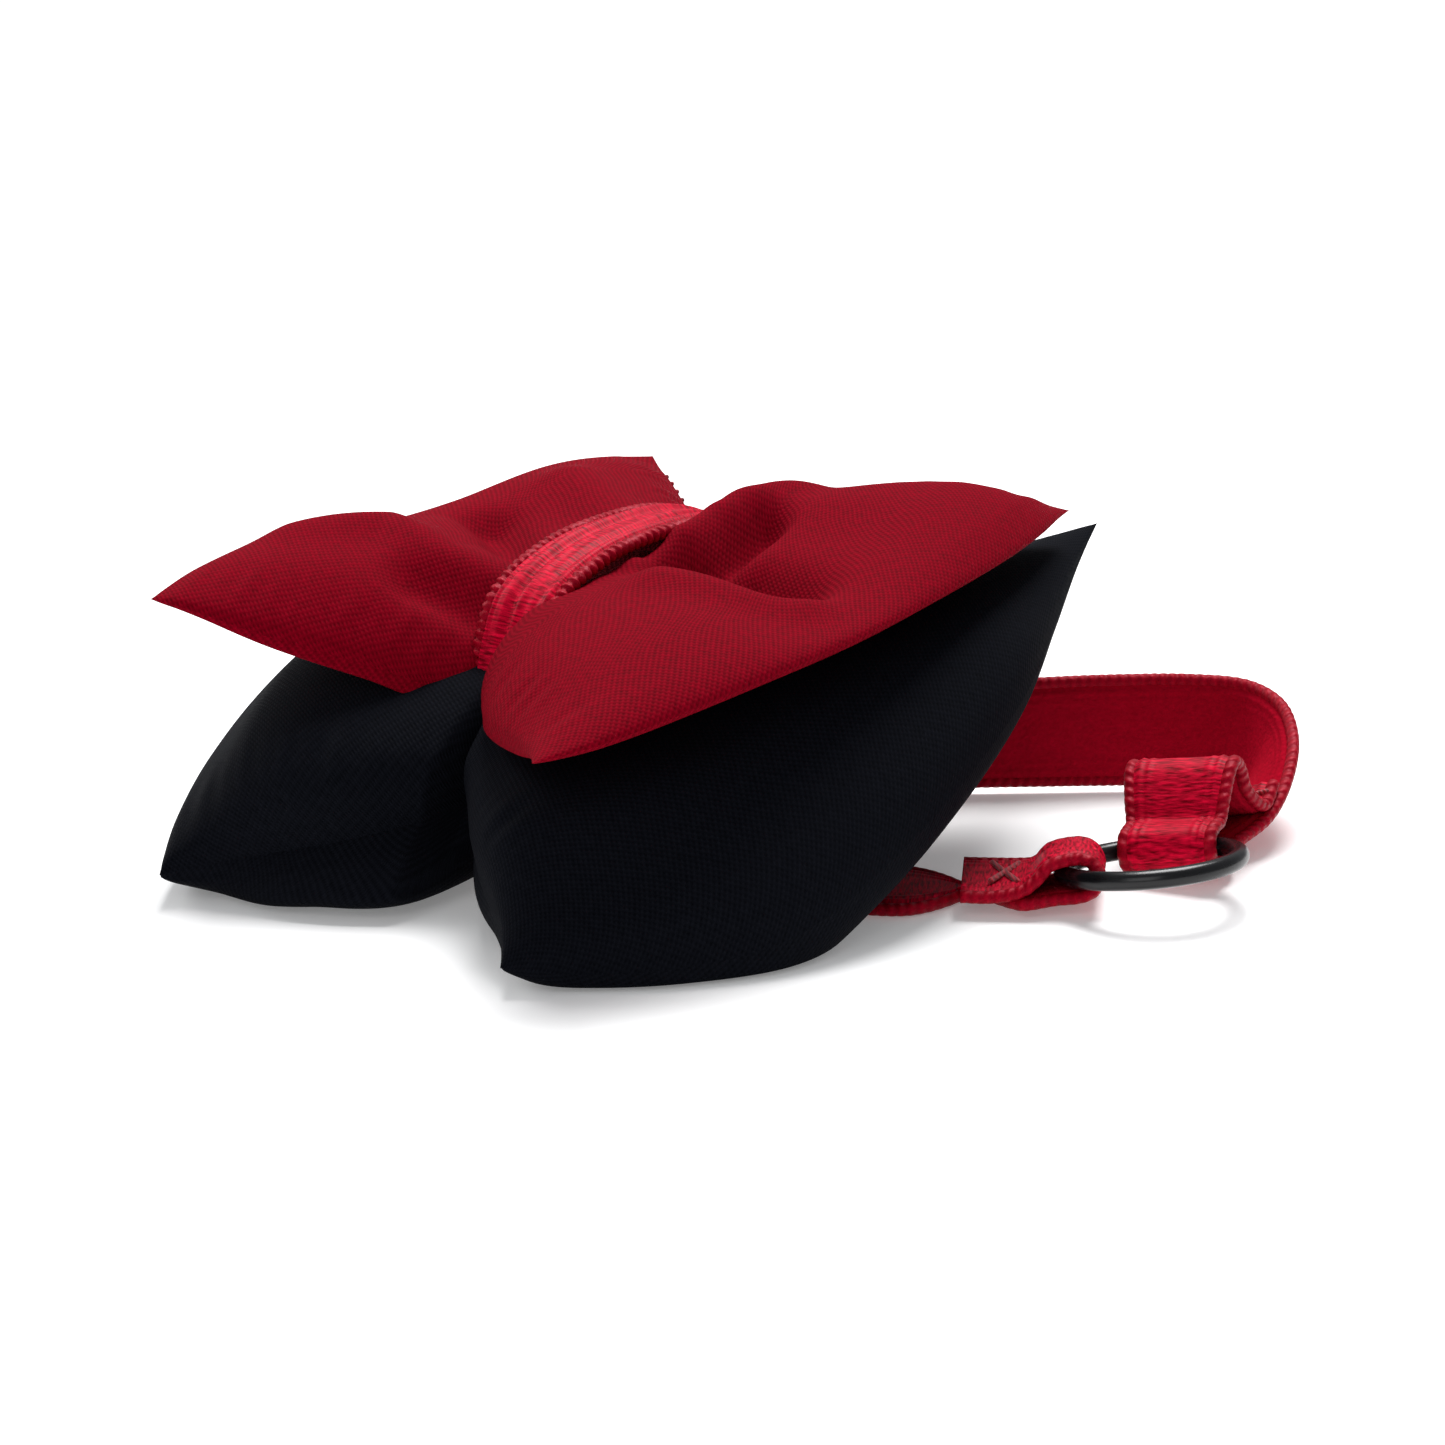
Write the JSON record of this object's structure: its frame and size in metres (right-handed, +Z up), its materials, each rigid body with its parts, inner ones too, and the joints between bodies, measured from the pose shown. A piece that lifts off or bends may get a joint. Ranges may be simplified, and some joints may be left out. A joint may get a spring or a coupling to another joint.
{
  "type": "wrist pin cushion",
  "caption": "Bow-shaped stuffed wrist pin cushion: padded fabric bow on a plump cushion, cinched by a satin elastic band, on an elastic wrist loop with a round ring.",
  "frame": {"origin": "middle of the footprint of the whole object, strap included, on the table it lies on", "axes": "+X along the bow from lobe to lobe, towards the side the wrist loop has fallen to; +Y from the front corners that rest on the table to the propped-up back corners; +Z up"},
  "size_m": [0.098, 0.0984, 0.0346],
  "materials": {
    "black_suiting": "matt fine twill weave, navy black",
    "red_suiting": "matt fine twill weave, crimson",
    "fibre_filling": "loose fibre stuffing, hidden inside",
    "wadding": "thin fibre wadding, hidden inside",
    "red_satin_elastic": "satin outside, soft plush inside, looped edges",
    "red_thread": "sewing thread",
    "black_thread": "sewing thread",
    "coated_ring": "smooth black nylon coating over round wire"
  },
  "bodies": {
    "cushion": {"cushion_top_panel": "black_suiting", "cushion_bottom_panel": "black_suiting", "cushion_filling": "fibre_filling", "cushion_closing_stitches": "black_thread", "bow_top_panel": "red_suiting", "bow_bottom_panel": "red_suiting", "bow_wadding": "wadding", "bow_closing_stitches": "red_thread", "cinch_band": "red_satin_elastic", "cinch_band_join_stitches": "red_thread", "ring_strap_sewn_end": "red_satin_elastic", "wrist_strap_sewn_end": "red_satin_elastic", "strap_anchor_stitches": "red_thread"},
    "strap_loop": {"ring_strap": "red_satin_elastic", "ring_strap_tack": "red_thread", "wrist_strap": "red_satin_elastic", "wrist_strap_tack": "red_thread"},
    "ring": {"strap_ring": "coated_ring"}
  },
  "joints": [
    {"name": "strap_swing", "type": "hinge", "parent": "cushion", "child": "strap_loop", "pos_m": [-0.01004, 0.01106, 0.0118], "axis": [0, 0.9544, 0.2985], "range_deg": [0, 30], "deforming": ["ring_strap_sewn_end"]},
    {"name": "ring_turn", "type": "hinge", "parent": "strap_loop", "child": "ring", "pos_m": [0.03966, 0.01181, 0.004], "axis": [-0.169, 0.0288, 0.9852], "continuous": true}
  ]
}
